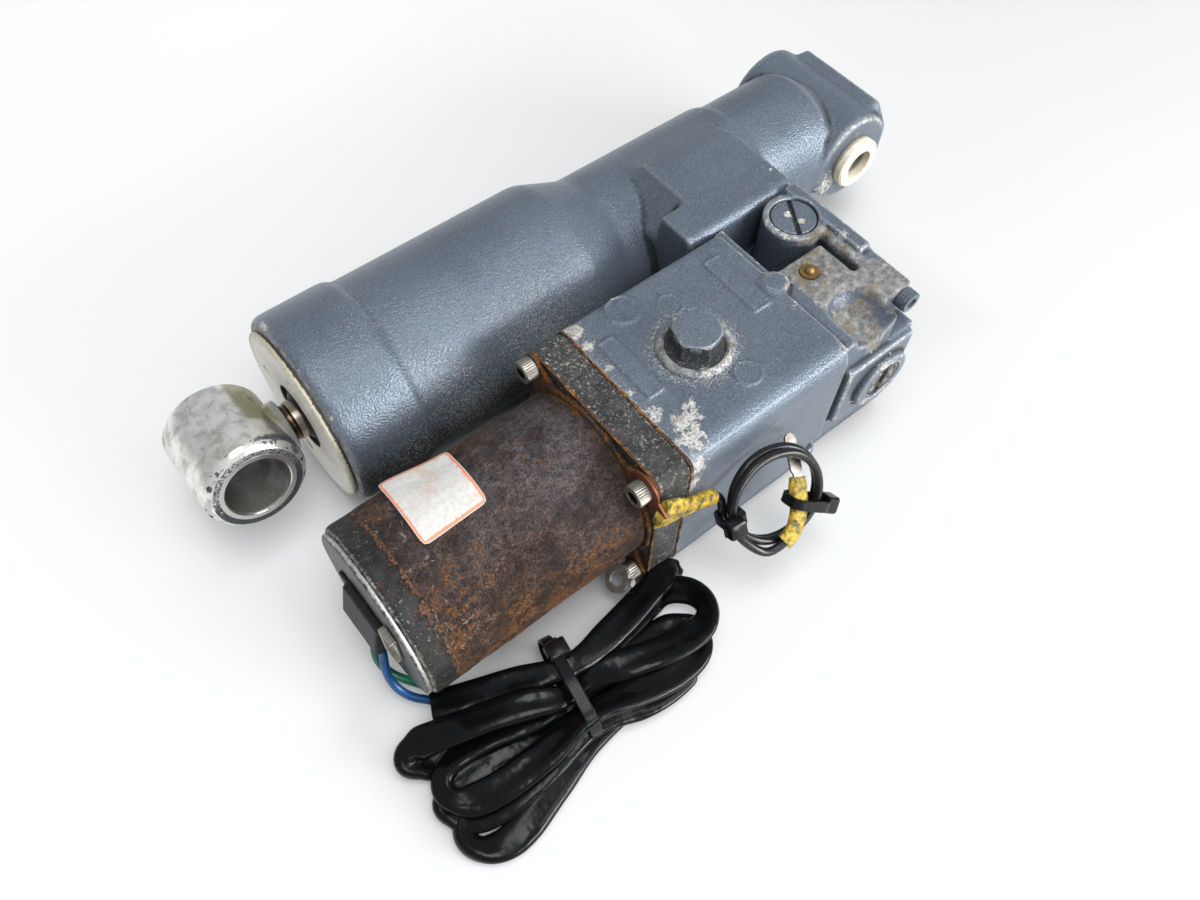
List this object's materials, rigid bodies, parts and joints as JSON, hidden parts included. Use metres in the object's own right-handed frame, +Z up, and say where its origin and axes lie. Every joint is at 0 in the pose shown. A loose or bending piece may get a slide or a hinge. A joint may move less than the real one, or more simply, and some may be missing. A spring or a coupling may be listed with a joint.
{
  "type": "power trim and tilt unit",
  "caption": "Outboard hydraulic trim and tilt ram with electric pump motor, reservoir, rod eye, lower pivot, relief valve and wired harness.",
  "frame": {"origin": "centre of the lower pivot bore", "axes": "+X from the rod eye towards the lower pivot along the cylinder, +Y along the lower pivot bore from the motor side to the cylinder side, +Z up from the table the unit lies on"},
  "size_m": [0.382, 0.2343, 0.0979],
  "materials": {
    "painted_casting": "blue-grey metallic paint, orange peel, chipped to bare alloy",
    "zinc_cap": "passivated, yellowish",
    "black_rubber": "matt",
    "bronze": "sintered",
    "nylon": "off-white nylon",
    "zinc_steel": "zinc plated, dull",
    "brass": "dull",
    "painted_plug": "blue-grey paint, worn edges",
    "black_painted": "black paint, worn to bare alloy",
    "rusty_steel": "heavy brown rust",
    "paper_label": "blank white label, orange border",
    "ferrite": "ferrite",
    "phenolic": "phenolic board",
    "carbon": "carbon",
    "machined_alloy": "machined",
    "filter_mesh": "fine mesh",
    "green_pvc": "insulation",
    "blue_pvc": "insulation",
    "black_pvc": "vinyl sleeve",
    "black_nylon": "cable tie",
    "yellow_sleeve": "yellow heat-shrink, dirty",
    "seal_ring": "PTFE",
    "steel_tube": "ground",
    "polished_rod": "polished stainless",
    "laminated_steel": "laminated",
    "copper_wire": "enamelled copper"
  },
  "bodies": {
    "housing": {"cylinder_casting": "painted_casting", "gland_cap": "zinc_cap", "wiper_seal": "black_rubber", "rod_bush": "bronze", "rod_seal": "black_rubber", "pivot_bushes": "nylon", "pump_housing": "painted_casting", "manifold_bolts": "zinc_steel", "gallery_plug": "brass", "port_plug": "painted_plug", "relief_plug": "zinc_steel", "relief_spring": "zinc_steel", "motor_flange": "black_painted", "flange_gasket": "black_rubber", "motor_plate": "rusty_steel", "flange_screws": "zinc_steel", "motor_tube": "rusty_steel", "motor_end_cap": "black_painted", "motor_end_plate": "zinc_steel", "lead_grommet": "black_rubber", "terminal_clip": "zinc_steel", "motor_label": "paper_label", "magnets": "ferrite", "brush_plate": "phenolic", "brushes": "carbon", "motor_bearings": "zinc_steel", "pump_body": "machined_alloy", "pump_cover": "machined_alloy", "suction_filter": "filter_mesh", "lead_green": "green_pvc", "lead_blue": "blue_pvc", "harness_coil": "black_pvc", "harness_tie": "black_nylon", "ground_lug": "yellow_sleeve", "ground_lead": "black_pvc", "ground_tip": "yellow_sleeve", "ground_ties": "black_nylon", "harness_clip": "zinc_steel"},
    "trim_ram": {"trim_piston": "machined_alloy", "trim_rings": "seal_ring", "tilt_tube": "steel_tube", "tube_guide": "machined_alloy"},
    "tilt_ram": {"piston_rod": "polished_rod", "rod_eye": "polished_rod", "eye_bush": "polished_rod", "tilt_piston": "machined_alloy", "tilt_piston_ring": "seal_ring", "shock_balls": "zinc_steel", "rod_nut": "zinc_steel"},
    "free_piston": {"free_piston": "machined_alloy"},
    "fill_plug": {"fill_plug": "painted_plug", "fill_plug_seal": "black_rubber"},
    "manual_valve": {"manual_valve": "painted_plug"},
    "rotor": {"motor_shaft": "steel_tube", "armature_core": "laminated_steel", "armature_windings": "copper_wire", "commutator": "copper_wire", "shaft_coupling": "steel_tube", "drive_gear": "steel_tube"},
    "driven_gear": {"driven_gear": "steel_tube"}
  },
  "joints": [
    {"name": "trim_slide", "type": "slide", "parent": "housing", "child": "trim_ram", "axis": [-1, 0, 0], "range_m": [0, 0.07]},
    {"name": "tilt_slide", "type": "slide", "parent": "trim_ram", "child": "tilt_ram", "axis": [-1, 0, 0], "range_m": [0, 0.1]},
    {"name": "free_piston_slide", "type": "slide", "parent": "trim_ram", "child": "free_piston", "axis": [-1, 0, 0], "range_m": [0, 0.1]},
    {"name": "fill_plug_turn", "type": "hinge", "parent": "housing", "child": "fill_plug", "pos_m": [-0.171, -0.0962, 0.04], "axis": [0, 0, 1], "range_deg": [0, 1440]},
    {"name": "manual_valve_turn", "type": "hinge", "parent": "housing", "child": "manual_valve", "pos_m": [-0.0871, -0.0686, 0.03], "axis": [0, 0, 1], "range_deg": [0, 1080]},
    {"name": "rotor_spin", "type": "hinge", "parent": "housing", "child": "rotor", "pos_m": [-0.265, -0.0962, 0], "axis": [1, 0, 0], "continuous": true},
    {"name": "driven_gear_spin", "type": "hinge", "parent": "housing", "child": "driven_gear", "pos_m": [-0.166, -0.0962, -0.02115], "axis": [1, 0, 0], "continuous": true}
  ],
  "couplings": [
    {"joint": "free_piston_slide", "follows": "tilt_slide", "ratio": 1},
    {"joint": "driven_gear_spin", "follows": "rotor_spin", "ratio": -1}
  ]
}
